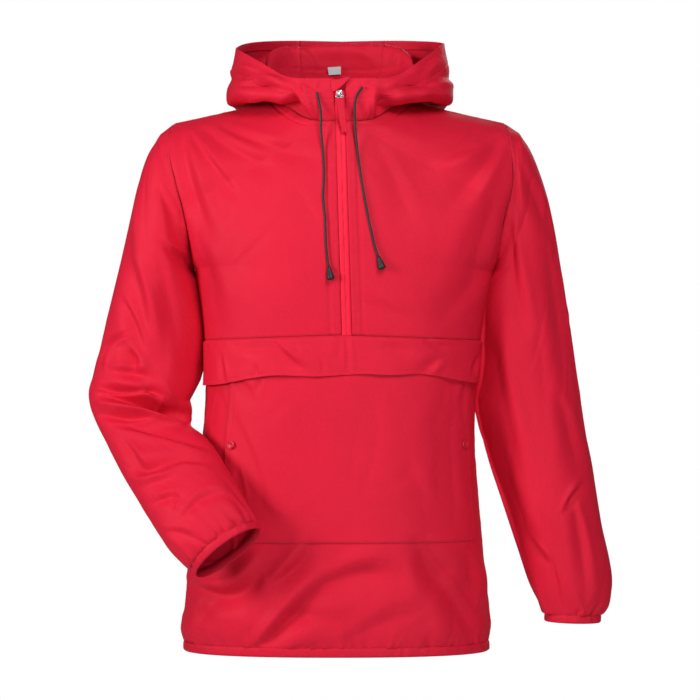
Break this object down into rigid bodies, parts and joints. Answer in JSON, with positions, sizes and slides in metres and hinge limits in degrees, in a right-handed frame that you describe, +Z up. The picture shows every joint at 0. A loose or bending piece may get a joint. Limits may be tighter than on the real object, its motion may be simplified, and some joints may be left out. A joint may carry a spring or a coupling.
{
  "type": "hooded anorak pullover",
  "caption": "Worn-form pullover anorak with a lowered hood, half zip, flapped pouch pocket, elasticated cuffs and hem, and hanging drawcords; the zip's pull swings",
  "frame": {"origin": "middle of the neck opening, level with the highest points of the shoulders, where the wearer's neck and shoulders hold the garment", "axes": "+Z up, the front faces -Y, +X to the viewer's right as seen from the front"},
  "size_m": [0.6936, 0.3856, 0.8243],
  "materials": {
    "shell_cloth": "thin red woven nylon, slightly glossy, crumpled",
    "binding": "red elasticated binding",
    "zip_tape": "bright red zip tape with moulded teeth",
    "drawcord": "black braided cord",
    "cord_end": "black moulded cord end",
    "metal": "silver zip slider and bail",
    "snap_paint": "press snaps painted red",
    "label": "blank light grey label"
  },
  "bodies": {
    "garment": {"chest_left": "shell_cloth", "chest_right": "shell_cloth", "front_lower": "shell_cloth", "pocket_panel": "shell_cloth", "pocket_flap": "shell_cloth", "back": "shell_cloth", "sleeve_left": "shell_cloth", "sleeve_right": "shell_cloth", "cuff_binding_left": "binding", "cuff_binding_right": "binding", "hem_binding": "binding", "hood_side_left": "shell_cloth", "hood_side_right": "shell_cloth", "hood_center": "shell_cloth", "zip_guard": "shell_cloth", "zip_tape_left": "zip_tape", "zip_tape_right": "zip_tape", "zip_slider": "metal", "cord_left": "drawcord", "cord_right": "drawcord", "cord_end_left": "cord_end", "cord_end_right": "cord_end", "snap_left": "snap_paint", "snap_right": "snap_paint", "neck_label": "label"},
    "pull": {"zip_bail": "metal", "zip_puller": "shell_cloth"}
  },
  "joints": [
    {"name": "pull_swing", "type": "hinge", "parent": "garment", "child": "pull", "pos_m": [-0.00137, -0.1104, -0.0005], "axis": [-1, 0, 0], "range_deg": [0, 140]}
  ]
}
